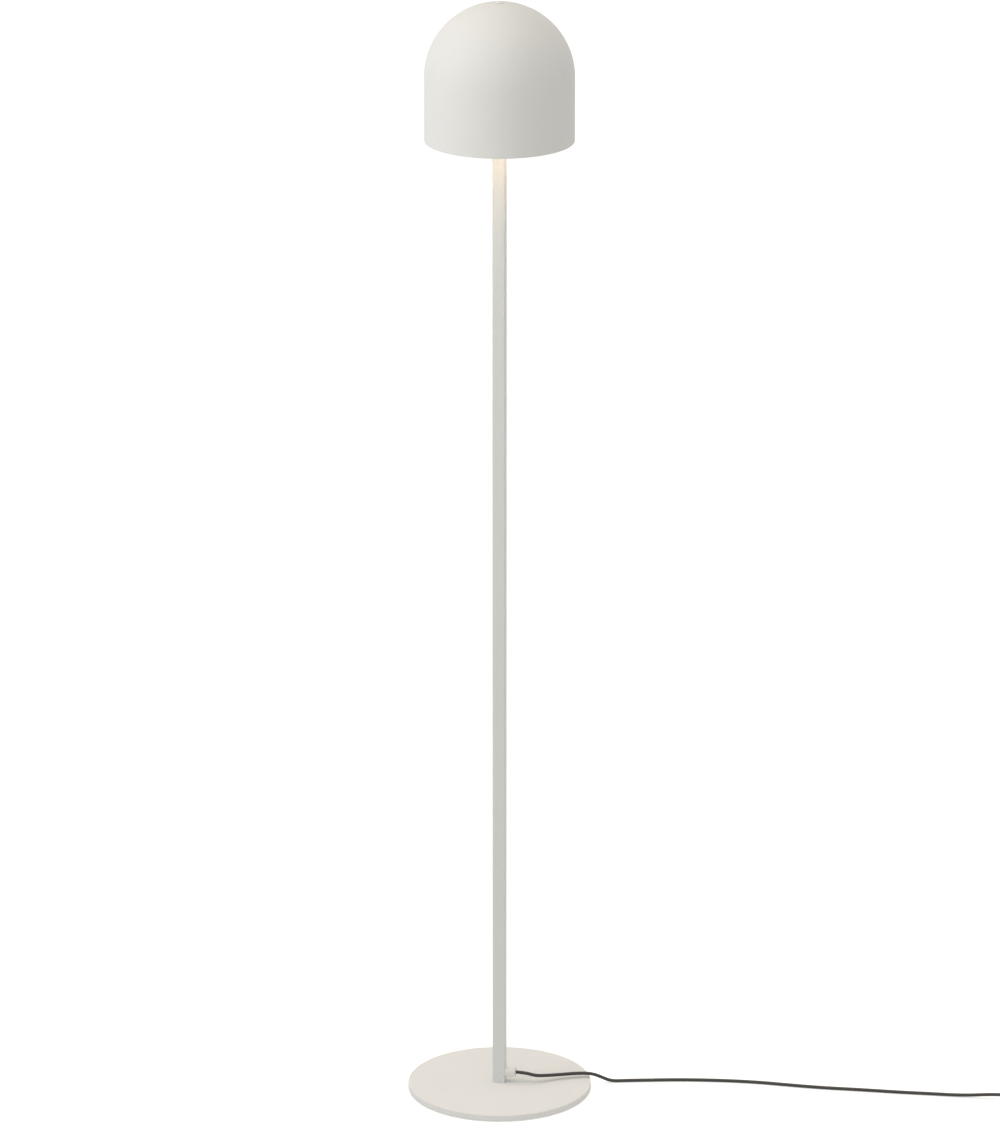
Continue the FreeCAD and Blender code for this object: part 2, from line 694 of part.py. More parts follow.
def make_lampholder():
    hole = "pipe_thread_radius + fit_gap"
    turned("holder_cap", [
        (hole, "0"), ("7.5", "0"), ("7.5", "6"), ("holder_radius", "13"), ("holder_radius", "21"),
        ("18", "21"), ("18", "28"), ("16", "28"), ("16", "14.2"), ("7", "9"), (hole, "9"),
    ], z=HOLDER_FOOT)

    core = turned("holder_core", [
        ("0", "holder_disc_foot"), ("15.8", "holder_disc_foot"), ("15.8", "28"), ("17.9", "28"),
        ("17.9", "30"), ("15.5", "30"), ("15.5", "52"), ("sleeve_radius + fit_gap", "52"),
        ("sleeve_radius + fit_gap", "holder_disc_top"), ("0", "holder_disc_top"),
    ], z=HOLDER_FOOT)
    for slot_x in ("-left_terminal", "right_terminal"):
        slot = new_sketch(core, "XY_Plane", "holder_disc_foot")
        box(slot, f"{slot_x} - 0.5", "-2.1", f"{slot_x} + 0.5", "2.1")
        cut(core, slot, "holder_disc_top - holder_disc_foot", forward=True)

    turned("holder_skirt", [
        ("18.05", "21"), ("20.2", "21"), ("19.6", "56"), ("18.8", "57"), ("17.2", "57"),
        ("17.2", "30"), ("18.05", "30"),
    ], z=HOLDER_FOOT)

    ring("thread_sleeve", "sleeve_radius", "sleeve_radius - sleeve_wall", "23",
         z=f"{HOLDER_FOOT} + holder_disc_top")

    foot, top = "holder_disc_foot", "holder_disc_top"
    strips = {
        # a leaf that springs up to the bulb's tip
        "centre_contact": [
            ("-left_terminal - 0.4", foot), ("-left_terminal + 0.4", foot),
            ("-left_terminal + 0.4", top), ("-3", top), ("1.5", f"{top} + 3.3"),
            ("4", f"{top} + 3.3"), ("4", f"{top} + 3.9"), ("1.2", f"{top} + 3.9"),
            ("-3.3", f"{top} + 0.6"), ("-left_terminal - 0.4", f"{top} + 0.6"),
        ],
        # a strip that turns up against the thread sleeve
        "sleeve_contact": [
            ("right_terminal - 0.4", foot), ("right_terminal + 0.4", foot),
            ("right_terminal + 0.4", top), ("13.2", top), ("13.2", f"{top} + 4"),
            ("12.6", f"{top} + 4"), ("12.6", f"{top} + 0.6"), ("right_terminal - 0.4", f"{top} + 0.6"),
        ],
    }
    for label, corners in strips.items():
        strip = new_body(label, z=HOLDER_FOOT)
        side_view = new_sketch(strip, "XZ_Plane")
        outline(side_view, corners)
        extrude(strip, side_view, "4", symmetric=True)

    blocks, screws = [], []
    for block_x in ("-left_terminal", "right_terminal"):
        block = new_body("terminal", x=block_x, z=HOLDER_FOOT, kept=False)
        plan = new_sketch(block, "XY_Plane", "holder_disc_foot - 5")
        box(plan, "-2.5", "-3", "2.5", "3")
        extrude(block, plan, "5")
        bore(block, "YZ_Plane", "core_radius + fit_gap", "6", y="terminal_height", symmetric=True)
        bore(block, "XZ_Plane", "1.3", "4", y="terminal_height", forward=True)
        blocks.append(block)
        screw = turned("terminal_screw", [
            ("0", "1.2"), ("1.25", "1.2"), ("1.25", "3"), ("2.3", "3"), ("2.3", "4.6"), ("0", "4.6"),
        ], x=block_x, z=f"{HOLDER_FOOT} + terminal_height", turn_by=AGAINST_Y, kept=False)
        driver_slot = new_sketch(screw, "XY_Plane", "4.6")
        box(driver_slot, "-2.5", "-0.3", "2.5", "0.3")
        cut(screw, driver_slot, "0.8")
        screws.append(screw)
    group("holder_terminals", blocks)
    group("terminal_screws", screws)


# ---------------------------------------------------------------- bulb


def make_bulb():
    turned("bulb_tip", [("0", "0"), ("3.4", "0"), ("4.7", "0.9"), ("4.7", "2.2"), ("0", "2.2")],
           z=BULB_TIP)
    turned("bulb_insulator", [("0", "2.2"), ("5.5", "2.2"), ("11.6", "5.8"), ("11.6", "7.2"), ("0", "7.2")],
           z=BULB_TIP)
    inner = "(bulb_cap_radius - bulb_cap_wall)"
    turned("bulb_cap", [
        ("11.65", "5.8"), ("bulb_cap_radius", "7.6"), ("bulb_cap_radius", "25.5"), (inner, "25.5"),
        (inner, "7.9"), ("11.65", "6.7"),
    ], z=BULB_TIP)

    # a tapered housing, let into the threaded cap
    turned("bulb_body", [
        ("12.4", "19"), ("12.4", "25.8"), ("14.2", "25.8"), ("14.6", "31"), ("24.6", "globe_foot"),
        ("23.1", "globe_foot"), ("13.1", "31.4"), ("11.1", "26"), ("11.1", "19"),
    ], z=BULB_TIP)
    centre = "(bulb_length - globe_radius)"
    inner_radius = "(globe_radius - globe_wall)"
    drop = f"({centre} - globe_foot)"
    turned("bulb_globe", [
        (f"sqrt(globe_radius^2 - {drop}^2)", "globe_foot", "globe_radius", "left"),
        ("0", "bulb_length"), ("0", "bulb_length - globe_wall", inner_radius, "right"),
        (f"sqrt({inner_radius}^2 - {drop}^2)", "globe_foot"),
    ], z=BULB_TIP)

    board = new_body("led_board", z=f"{BULB_TIP} + 55")
    disc = new_sketch(board, "XY_Plane")
    circle(disc, "22.2")
    extrude(board, disc, "1.6")
    chips = []
    for index in range(8):
        angle = 45 * index
        chip = new_body("led_chip", x=f"led_ring_radius * cos({angle}deg)",
                        y=f"led_ring_radius * sin({angle}deg)", z=f"{BULB_TIP} + 56.6",
                        turn=Rotation(Vector(0, 0, 1), angle), kept=False)
        plan = new_sketch(chip, "XY_Plane")
        box(plan, "-1.75", "-1.4", "1.75", "1.4")
        extrude(chip, plan, "0.7")
        chips.append(chip)
    group("led_chips", chips)

    driver = new_body("driver_plate", z=BULB_TIP, kept=False)
    plan = new_sketch(driver, "XY_Plane", "22")
    box(plan, "-0.8", "-9.5", "0.8", "9.5")
    extrude(driver, plan, "30")
    capacitor = turned("driver_capacitor", [("0", "34"), ("4", "34"), ("4", "47"), ("0", "47")],
                       x="4.9", z=BULB_TIP, kept=False)
    group("driver_board", [driver, capacitor])


# ---------------------------------------------------------------- wiring in the lamp


def make_wiring():
    grip_end = "stem_side / 2 + grip_length"
    lowest = "cable_offset - 0.5"
    tube("stem_cable", [
        point(grip_end, "0", GRIP_AXIS), point(lowest, "0", GRIP_AXIS),
        point(lowest, "0", f"{STEM_TOP} - 60"), point("0", "0", f"{STEM_TOP} - 36"),
        point("0", "0", f"{STEM_TOP} + 16"),
    ], value("cord_radius"), radii=(7.0, 120.0, 120.0))
    for label, side, block_x in (("core_brown", "-", "-left_terminal + 2"),
                                 ("core_blue", "", "right_terminal - 2")):
        start = f"{side}core_spread"
        height = f"{HOLDER_FOOT} + terminal_height"
        tube(label, [
            point(start, "0", f"{STEM_TOP} + 16"), point(start, "0", height),
            point(block_x, "0", height),
        ], value("core_radius"), radii=(2.4,))


# ---------------------------------------------------------------- the free cord


def coil_place():
    """The put-away coil: in three turns on the floor, up a layer in half a turn, and out in three."""
    outer, pitch = value("coil_radius"), value("coil_pitch")
    lean = math.atan2(pitch, 2 * math.pi * outer)
    turns = 6.5 + 2 * lean / (2 * math.pi)
    start_angle = math.pi / 2 + lean
    low = value("cord_radius + floor_gap")
    centre_y = value("cord_line") - outer * math.cos(lean)
    centre = Vector(value("coil_x"), centre_y, low)

    def place_at(at):
        angle = start_angle - 2 * math.pi * at
        radius = outer - pitch * min(at, turns - at)
        climbed = min(max((at - turns / 2) / 0.5 + 0.5, 0.0), 1.0)
        height = pitch * (1 - math.cos(math.pi * climbed)) / 2
        return centre + Vector(radius * math.cos(angle), radius * math.sin(angle), height)

    return place_at, turns


def make_cord():
    radius = value("cord_radius")
    place_at, turns = coil_place()
    path = winding(place_at, turns, lead=2 * radius)
    gap = least_gap(path, radius, spacing=1.5)
    print(f"cord_coil: length {path.Length:.1f}, {turns:.2f} turns, least gap {gap:.2f}")
    coded("cord_coil", tube_on(path, radius))
    coil_start = path.Edges[0].valueAt(path.Edges[0].FirstParameter)
    coil_end = path.Edges[-1].valueAt(path.Edges[-1].LastParameter)

    floor = radius + value("floor_gap")
    line, axis = value("cord_line"), value(SWITCH_AXIS)
    sheath_in = value("switch_x - switch_sheath_end")
    sheath_out = value("switch_x + switch_sheath_end")
    grip_end = value("stem_side / 2 + grip_length")
    # out of the grip, down to the base, over its rim and away along the floor
    tube("cord_to_switch", [
        Vector(grip_end, 0, value(GRIP_AXIS)),
        Vector(34, 0, value(GRIP_AXIS)),
        Vector(48, 3.6, 18.3),
        Vector(62, 16.7, 14.7),
        Vector(78, 30, 12),
        Vector(97, 37.5, 12.2),
        Vector(116, 40.1, 12.5),
        Vector(128.6, 41, 8),
        Vector(141.5, 43.3, floor),
        Vector(161, 49.1, floor),
        Vector(190, 56, floor),
        Vector(230, 65.4, floor),
        Vector(280, 72.8, floor),
        Vector(330, 76.4, floor),
        Vector(377, 74.2, floor),
        Vector(422, 73.6, floor),
        Vector(470, 76.4, floor),
        Vector(520, 77.4, floor),
        Vector(565, 80.4, floor),
        Vector(605, 82, floor + 0.2),
        Vector(652, line, axis),
        Vector(sheath_in, line, axis),
    ], radius)
    tube("cord_from_switch", [
        Vector(sheath_out, line, axis),
        Vector(793, line, axis),
        Vector(832, line, coil_start.z),
        coil_start,
    ], radius)
    plug_end = value("plug_rear_x - 7")
    tube("cord_to_plug", [
        coil_end,
        Vector(860, coil_end.y, coil_end.z),
        Vector(841, coil_end.y + 0.4, coil_end.z - 1),
        Vector(806, coil_end.y, value(PLUG_AXIS)),
        Vector(plug_end, coil_end.y, value(PLUG_AXIS)),
    ], radius)
    return coil_end.y


# ---------------------------------------------------------------- foot switch


def switch_body(label, x="0", y="0", z="0", turn=None, kept=True):
    """A body in the switch's own frame: centred on it, with Z from the underside of its shells."""
    return new_body(label, f"switch_x + {x}", f"cord_line + {y}", f"switch_foot_rise + {z}", turn, kept)


def posts(body, radius, height, spots, foot="0"):
    for spot_x, spot_y in spots:
        plan = new_sketch(body, "XY_Plane", foot)
        circle(plan, radius, spot_x, spot_y)
        extrude(body, plan, height)


def four(x, y):
    return [(f"{side_x}{x}", f"{side_y}{y}") for side_x in ("", "-") for side_y in ("", "-")]


def make_switch_shells():
    inner_length, inner_width = "(switch_half_length - switch_wall)", "(switch_half_width - switch_wall)"
    end_hole = "4.05"
    bosses = four("boss_x", "boss_y")
    clamp_spots = four("clamp_x", "clamp_post_y")

    base = switch_body("switch_base")
    plan = new_sketch(base, "XY_Plane")
    stadium(plan, "switch_half_length", "switch_half_width")
    extrude(base, plan, "switch_parting")
    hollow = new_sketch(base, "XY_Plane", "switch_parting")
    stadium(hollow, inner_length, inner_width)
    cut(base, hollow, "switch_parting - switch_wall")
    bore(base, "YZ_Plane", end_hole, "3 * switch_half_length", y="switch_parting", symmetric=True)
    round_edges(base, "Fillet", "1.5", level_edge(0.0))
    posts(base, "4.4", "switch_parting - 1", bosses, foot="1")
    posts(base, "2.2", "8.25", clamp_spots, foot="1")
    for side in ("", "-"):
        rib = new_sketch(base, "XY_Plane", "1")
        box(rib, f"{side}clamp_x - 2", "-5", f"{side}clamp_x + 2", "5")
        extrude(base, rib, "switch_parting - cord_radius - 1")
    for spot_x, spot_y in bosses:
        bore(base, "XY_Plane", "1.6", "switch_parting", spot_x, spot_y, forward=True)
        bore(base, "XY_Plane", "2.9", "2.6", spot_x, spot_y, forward=True)
    for spot_x, spot_y in clamp_spots:
        bore(base, "XY_Plane", "1.15", "6.5", spot_x, spot_y, offset="9.25")
    for spot_x, spot_y in four("15", "8"):
        bore(base, "XY_Plane", "4.1", "1", spot_x, spot_y, forward=True)

    cover = switch_body("switch_cover", z="switch_parting")
    plan = new_sketch(cover, "XY_Plane")
    stadium(plan, "switch_half_length", "switch_half_width")
    extrude(cover, plan, "switch_cover_height")
    round_edges(cover, "Fillet", "4", level_edge(value("switch_cover_height")))
    hollow = new_sketch(cover, "XY_Plane")
    stadium(hollow, inner_length, inner_width)
    cut(cover, hollow, "switch_cover_height - 2 * switch_wall", forward=True)
    roof = new_sketch(cover, "XY_Plane")
    stadium(roof, "(switch_half_length - 2 * switch_wall)", "(switch_half_width - 2 * switch_wall)")
    cut(cover, roof, "switch_cover_height - switch_wall", forward=True)
    well = new_sketch(cover, "XY_Plane")
    circle(well, "button_radius + 1.8")
    cut(cover, well, "switch_cover_height - switch_wall", forward=True)
    bore(cover, "YZ_Plane", end_hole, "3 * switch_half_length", symmetric=True)
    bore(cover, "XY_Plane", "button_radius + button_play", "switch_cover_height", forward=True)
    posts(cover, "3.4", "switch_cover_height - 1.2", bosses)
    for spot_x, spot_y in bosses:
        bore(cover, "XY_Plane", "1.3", "8", spot_x, spot_y, forward=True)

    feet = []
    for spot_x, spot_y in four("15", "8"):
        foot = new_body("switch_foot", f"switch_x + {spot_x}", f"cord_line + {spot_y}", kept=False)
        turn(foot, [("0", "0"), ("3.4", "0"), ("4", "0.6"), ("4", "1.8"), ("0", "1.8")])
        feet.append(foot)
    group("switch_feet", feet)


def make_switch_works():
    top = "(switch_parting + switch_cover_height)"
    button = switch_body("switch_button")
    inner = "(button_radius - 1.5)"
    turn(button, [
        ("0", f"{top} + 4"), ("0", f"{top} - 1"), ("3.2", f"{top} - 1"), ("3.2", f"{top} + 2"),
        (inner, f"{top} + 2"), (inner, f"{top} - 4"), ("button_radius + 1.4", f"{top} - 4"),
        ("button_radius + 1.4", f"{top} - 2.3"), ("button_radius", f"{top} - 2.3"),
        ("button_radius", f"{top} + 3", "1", "left"), ("button_radius - 1", f"{top} + 4"),
    ])

    plunger = switch_body("switch_plunger")
    foot = "module_top - 3"
    turn(plunger, [("0", foot), ("2.5", foot), ("2.5", f"{top} - 1"), ("0", f"{top} - 1")])

    spring_rise = value(f"{top} + 2 - module_top - 2 * spring_wire_radius")
    spring_turns = 5.0
    spring_centre = point("switch_x", "cord_line", "switch_foot_rise + module_top + spring_wire_radius")
    mean = value("spring_radius")

    def place_at(at):
        angle = 2 * math.pi * at
        return spring_centre + Vector(mean * math.cos(angle), mean * math.sin(angle),
                                      spring_rise * at / spring_turns)

    coded("switch_spring", tube_on(winding(place_at, spring_turns), value("spring_wire_radius")))

    module = switch_body("switch_module")
    plan = new_sketch(module, "XY_Plane", "switch_wall")
    box(plan, "-11", "-9", "11", "9")
    extrude(module, plan, "module_top - switch_wall")
    bore(module, "XY_Plane", "2.8", "7", offset="module_top")
    round_edges(module, "Chamfer", "0.6", level_edge(value("module_top"), 6.0))

    lugs = []
    for left, right in ((-15, -11), (11, 15)):
        lug = switch_body("module_lug", kept=False)
        plan = new_sketch(lug, "XY_Plane", "switch_parting - 1.5")
        box(plan, left, "3.6", right, "4.4")
        extrude(lug, plan, "3")
        lugs.append(lug)
    group("module_lugs", lugs)

    # the brown core is cut and goes through the switch, the blue one passes beside it
    axis = value(SWITCH_AXIS)
    centre_x, line = value("switch_x"), value("cord_line")
    end, spread, core = value("switch_sheath_end"), value("core_spread"), value("core_radius")
    halves = []
    for way in (1, -1):
        path, _ = rounded_route([
            Vector(centre_x + way * end, line + spread, axis),
            Vector(centre_x + way * 22, line + spread, axis),
            Vector(centre_x + way * 17.6, line + 4, axis),
            Vector(centre_x + way * 15, line + 4, axis),
        ])
        halves.append(tube_on(path, core))
    coded("switch_brown_wires", Part.makeCompound(halves))
    half_route = [(end, spread), (23.5, spread), (17.5, 4.5), (12.5, 10.8)]
    bowed = half_route + [(0, 11.8)] + [(-x, y) for x, y in reversed(half_route)]
    tube("switch_blue_wire", [Vector(centre_x - x, line - y, axis) for x, y in bowed], core)


def make_switch_fasteners():
    clamps, clamp_screws, screws, sleeves = [], [], [], []
    top = "(switch_parting + cord_radius)"
    for side in ("", "-"):
        clamp = switch_body("cord_clamp", x=f"{side}clamp_x", kept=False)
        plan = new_sketch(clamp, "XY_Plane", top)
        rounded_box(plan, "2.3", "9", "1")
        extrude(clamp, plan, "2")
        for spot_y in ("clamp_post_y", "-clamp_post_y"):
            bore(clamp, "XY_Plane", "1.3", "2", y=spot_y, offset=top, forward=True)
        clamps.append(clamp)
    for spot_x, spot_y in four("clamp_x", "clamp_post_y"):
        screw = switch_body("clamp_screw", spot_x, spot_y, f"{top} + 2", kept=False)
        turn(screw, [("0", "-7"), ("1.1", "-7"), ("1.1", "0"), ("2.2", "0"), ("2.2", "1"), ("1.4", "1.7"),
                     ("0", "1.7")])
        clamp_screws.append(screw)
    for spot_x, spot_y in four("boss_x", "boss_y"):
        screw = switch_body("switch_screw", spot_x, spot_y, "0.5", kept=False)
        turn(screw, [("0", "0"), ("2.7", "0"), ("2.7", "2.1"), ("1.25", "2.1"), ("1.25", "12.5"),
                     ("0", "12.5")])
        prism(screw, "Subtractive", "1.3", "1.2")
        screws.append(screw)
    # each sleeve has a flange inside the shells, a neck in their end hole, and a grooved taper outside
    taper = sleeve_corners(4.0, 3.6, 23.0, value("cord_radius") + 0.15, rings=5)
    flange = [(taper[0][0], "-4.2"), ("4.8", "-4.2"), ("4.8", "-2.4"), ("4", "-2.4")]
    for side, way in (("", ALONG_X), ("-", AGAINST_X)):
        sleeve = switch_body("switch_sleeve", f"{side}(switch_half_length - 1)", "0", "switch_parting",
                             way, kept=False)
        turn(sleeve, flange + taper[1:])
        sleeves.append(sleeve)
    group("cord_clamps", clamps)
    group("clamp_screws", clamp_screws)
    group("switch_screws", screws)
    group("switch_sleeves", sleeves)


# ---------------------------------------------------------------- plug


def make_plug(line):
    """A flat two-pin plug. Its own frame has X along the pins, from the back of its body."""
    where = {"x": "plug_rear_x", "y": f"{line:.4f}", "z": PLUG_AXIS, "turn": HALF_TURN}
    body = new_body("plug_body", **where)
    plan = new_sketch(body, "XY_Plane")
    outline(plan, [
        ("0", "-7"), ("3", "-7"), ("15", "-plug_half_width + 1.5"), ("22", "-plug_half_width"),
        ("plug_length - 3", "-plug_half_width", "3", "left"), ("plug_length", "-plug_half_width + 3"),
        ("plug_length", "plug_half_width - 3", "3", "left"), ("plug_length - 3", "plug_half_width"),
        ("22", "plug_half_width"), ("15", "plug_half_width - 1.5"), ("3", "7"), ("0", "7"),
    ])
    extrude(body, plan, "2 * plug_half_thick", symmetric=True)
    half_thick = value("plug_half_thick")
    round_edges(body, "Chamfer", "2.2",
                lambda edge: level_edge(half_thick)(edge) or level_edge(-half_thick)(edge))
    bore(body, "YZ_Plane", "cord_radius + cord_play", "7", forward=True)
    for side in ("", "-"):
        bore(body, "YZ_Plane", "pin_sleeve_radius", "10", x=f"{side}pin_half_pitch", offset="plug_length")

    pins, sleeves = [], []
    core = "(pin_radius - 0.5)"
    sleeve_end = "(plug_length + 10)"
    tip = "(plug_length + pin_length)"
    for side in (1, -1):
        where_pin = dict(where, y=f"{line:.4f} + {side} * pin_half_pitch", kept=False)
        where_pin["turn"] = AGAINST_X
        pin = new_body("plug_pin", **where_pin)
        turn(pin, [
            ("0", "plug_length - 10"), (core, "plug_length - 10"), (core, sleeve_end),
            ("pin_radius", sleeve_end), ("pin_radius", f"{tip} - 1.5"), ("pin_radius - 1", tip),
            ("0", tip),
        ])
        pins.append(pin)
        sleeve = new_body("pin_sleeve", **where_pin)
        turn(sleeve, [
            (core, "plug_length - 10"), ("pin_sleeve_radius", "plug_length - 10"),
            ("pin_sleeve_radius", sleeve_end), (core, sleeve_end),
        ])
        sleeves.append(sleeve)
    group("plug_pins", pins)
    group("pin_sleeves", sleeves)

    boot = new_body("plug_boot", **dict(where, turn=ALONG_X))
    turn(boot, sleeve_corners(5.2, 3.7, value("boot_length"), value("cord_radius") + 0.15, rings=6))


# ---------------------------------------------------------------- build, test and write


def broken(thing):
    shape_lost = thing in pieces and (thing.Shape.isNull() or not thing.Shape.isValid())
    return shape_lost or {"Invalid", "Error"} & set(thing.State)


make_base()
make_stem()
make_grip()
make_carrier()
make_shade()
make_lampholder()
make_bulb()
make_wiring()
plug_line = make_cord()
make_switch_shells()
make_switch_works()
make_switch_fasteners()
make_plug(plug_line)
doc.recompute()

failed = [thing.Label for thing in doc.Objects if broken(thing)]
if failed:
    raise RuntimeError(f"failed: {failed}")

os.makedirs("parts", exist_ok=True)
for piece in pieces:
    piece.Shape.exportStep(f"parts/{piece.Label}.step")
print(f"{len(pieces)} pieces written")
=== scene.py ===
import json
import math

import bpy
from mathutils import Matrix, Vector


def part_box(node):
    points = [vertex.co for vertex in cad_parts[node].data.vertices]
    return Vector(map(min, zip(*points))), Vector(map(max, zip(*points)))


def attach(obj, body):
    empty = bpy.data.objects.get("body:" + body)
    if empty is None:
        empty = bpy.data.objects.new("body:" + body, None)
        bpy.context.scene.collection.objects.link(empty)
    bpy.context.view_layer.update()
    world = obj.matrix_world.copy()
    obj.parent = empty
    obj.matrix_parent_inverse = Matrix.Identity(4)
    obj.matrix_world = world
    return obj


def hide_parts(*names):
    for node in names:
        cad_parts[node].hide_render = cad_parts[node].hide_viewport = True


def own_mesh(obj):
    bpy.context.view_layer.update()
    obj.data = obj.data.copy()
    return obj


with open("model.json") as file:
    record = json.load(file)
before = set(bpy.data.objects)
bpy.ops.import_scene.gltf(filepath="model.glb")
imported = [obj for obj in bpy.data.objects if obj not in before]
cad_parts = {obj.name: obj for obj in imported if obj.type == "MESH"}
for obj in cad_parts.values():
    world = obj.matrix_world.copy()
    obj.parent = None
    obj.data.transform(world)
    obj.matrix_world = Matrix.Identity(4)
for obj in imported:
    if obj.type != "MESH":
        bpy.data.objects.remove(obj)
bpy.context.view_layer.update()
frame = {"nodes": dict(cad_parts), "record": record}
nodes = frame["nodes"]
slots = {part["node"]: part["material_slot"] for part in frame["record"]["subparts"]}

# The view: a long lens, a little above the lamp, looking along the azimuth towards the stem.
AZIMUTH = math.radians(11)
PITCH = math.radians(17.78)
DISTANCE, HEIGHT, ASIDE = 8.2193, 3.3623, 0.0006
LENS, SENSOR_WIDTH, FARTHEST = 215.6, 36, 60
RIGHTWARD = Vector((math.cos(AZIMUTH), math.sin(AZIMUTH), 0))
FORWARD = Vector((math.sin(AZIMUTH), -math.cos(AZIMUTH), 0))  # from the lamp towards the camera

# The cord, in metres. Its points are those of the route in the CAD, except over the base: there
# they lie a little nearer to the camera and higher, so that the shadow falls as in the photograph.
CORD_DIAMETER = 0.0045
LENGTH_TO_SWITCH, LENGTH_TO_PLUG = 0.693, 1.325
FLOOR_LINE = 0.0023
SWITCH_LINE_Y, SWITCH_LINE_Z = 0.083, 0.0078
FROM_LAMP = [
    (0.022, 0, 0.023),
    (0.034, 0, 0.023),
    (0.0483, 0.0020, 0.0190),
    (0.0628, 0.0125, 0.0165),
    (0.0795, 0.0225, 0.0152),
    (0.0982, 0.0314, 0.0148),
    (0.1167, 0.0363, 0.0141),
    (0.1289, 0.0396, 0.0086),
    (0.1415, 0.0433, FLOOR_LINE),
    (0.161, 0.0491, FLOOR_LINE),
    (0.190, 0.056, FLOOR_LINE),
    (0.230, 0.0654, FLOOR_LINE),
    (0.280, 0.0728, FLOOR_LINE),
    (0.330, 0.0764, FLOOR_LINE),
    (0.377, 0.0742, FLOOR_LINE),
    (0.422, 0.0736, FLOOR_LINE),
    (0.470, 0.0764, FLOOR_LINE),
    (0.520, 0.0774, FLOOR_LINE),
    (0.565, 0.0804, FLOOR_LINE),
    (0.605, 0.082, 0.0025),
    (0.652, SWITCH_LINE_Y, SWITCH_LINE_Z),
    (0.698, SWITCH_LINE_Y, SWITCH_LINE_Z),
]
FROM_SWITCH = [
    (0.754, SWITCH_LINE_Y, SWITCH_LINE_Z),
    (0.793, SWITCH_LINE_Y, SWITCH_LINE_Z),
    (0.832, SWITCH_LINE_Y, FLOOR_LINE),
    (0.8707, SWITCH_LINE_Y, FLOOR_LINE),
]
COIL_X, COIL_RADIUS, COIL_PITCH = 0.876, 0.0352, 0.00505
COIL_TURNS, COIL_POINTS_PER_TURN = 6.5, 24
COIL_END_Y, COIL_END_Z = 0.0126, 0.00735
TO_PLUG = [
    (0.8707, COIL_END_Y, COIL_END_Z),
    (0.860, COIL_END_Y, COIL_END_Z),
    (0.841, 0.013, 0.00635),
    (0.806, COIL_END_Y, 0.0069),
    (0.771, COIL_END_Y, 0.0069),
]
SWITCH_PIECES = [
    "switch_base", "switch_cover", "switch_button", "switch_plunger", "switch_module", "module_lugs",
    "cord_clamps", "clamp_screws", "switch_screws", "switch_sleeves", "switch_feet",
    "switch_brown_wires", "switch_blue_wire",
]
PLUG_PIECES = ["plug_boot", "plug_body", "plug_pins", "pin_sleeves"]

